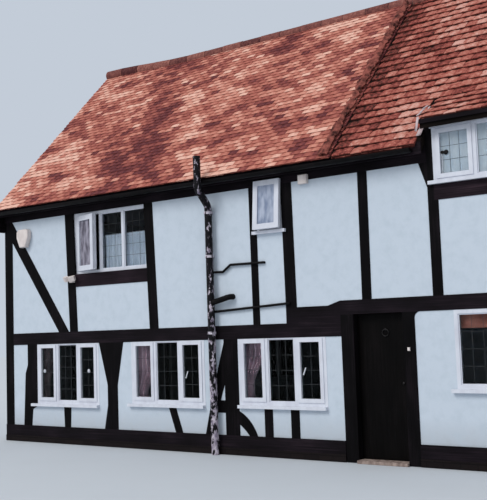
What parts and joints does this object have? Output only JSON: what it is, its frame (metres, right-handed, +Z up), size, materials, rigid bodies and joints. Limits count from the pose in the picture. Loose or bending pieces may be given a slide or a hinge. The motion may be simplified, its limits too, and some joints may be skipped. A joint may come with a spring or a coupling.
{
  "type": "timber-framed house",
  "caption": "Two-storey black-and-white timber-framed end house with a plain-tiled gable roof, raised eaves over one window, a front door and party wall.",
  "frame": {"origin": "middle of the plan on the underside of the ground floor, at paving level", "axes": "+X to the right along the front, +Y from the front to the back, +Z up"},
  "size_m": [10.48, 6.3326, 7.315],
  "materials": {
    "black_timber": "painted oak, satin",
    "white_render": "painted lime render",
    "white_upvc": "semi-gloss",
    "cream_plastic": "moulded",
    "window_glass": "leaded glazing",
    "clay_tiles": "plain clay tiles",
    "old_clay_tiles": "weathered plain clay tiles",
    "ridge_clay": "weathered ridge tiles",
    "black_masonry": "painted brick",
    "floor_brick": "brick paving",
    "floor_boards": "oak boards",
    "bare_oak": "old oak",
    "black_door": "gloss paint",
    "black_iron": "painted",
    "pale_stone": "worn stone",
    "black_upvc": "semi-gloss",
    "peeling_iron": "black over old pale paint, peeling",
    "lead": "weathered lead"
  },
  "bodies": {
    "house": {"back_infill": "white_render", "back_rail": "black_timber", "back_studs": "black_timber", "back_window_frames": "white_upvc", "bargeboards": "black_timber", "corner_posts": "black_timber", "curved_braces": "black_timber", "diagonal_brace": "black_timber", "dormer_flashing": "lead", "dormer_head": "black_timber", "dormer_posts": "black_timber", "dormer_roof": "old_clay_tiles", "fascias": "black_timber", "frame_hinges": "black_iron", "front_window_frames": "white_upvc", "gable_infill": "white_render", "gable_rails": "black_timber", "gable_studs": "black_timber", "girding_rail_left": "black_timber", "girding_rail_right": "black_timber", "ground_floor": "floor_brick", "ground_infill": "white_render", "ground_posts": "black_timber", "ground_studs": "black_timber", "gutters": "black_upvc", "jowled_posts": "black_timber", "open_sashes": "white_upvc", "party_wall": "white_render", "pipe_brackets": "peeling_iron", "plinth": "black_masonry", "plinth_gable": "black_masonry", "rendered_wall": "white_render", "ridge_tiles": "ridge_clay", "roof_back": "clay_tiles", "roof_front_left": "clay_tiles", "roof_front_right": "old_clay_tiles", "security_light": "white_upvc", "sill_beams": "black_timber", "soil_pipe": "peeling_iron", "threshold": "pale_stone", "tie_beams": "bare_oak", "upper_floor": "floor_boards", "upper_infill": "white_render", "upper_studs": "black_timber", "wall_boxes": "cream_plastic", "wall_plates": "black_timber", "waste_pipes": "black_upvc", "window_glass": "window_glass", "window_head_board": "white_upvc", "window_rails": "black_timber", "window_sills": "white_upvc"},
    "door": {"front_door": "black_door", "door_furniture": "black_iron", "door_hinges": "black_iron"}
  },
  "joints": [
    {"name": "front_door_hinge", "type": "hinge", "parent": "house", "child": "door", "pos_m": [1.8525, -2.684, 1], "axis": [0, 0, 1], "range_deg": [0, 90]}
  ]
}
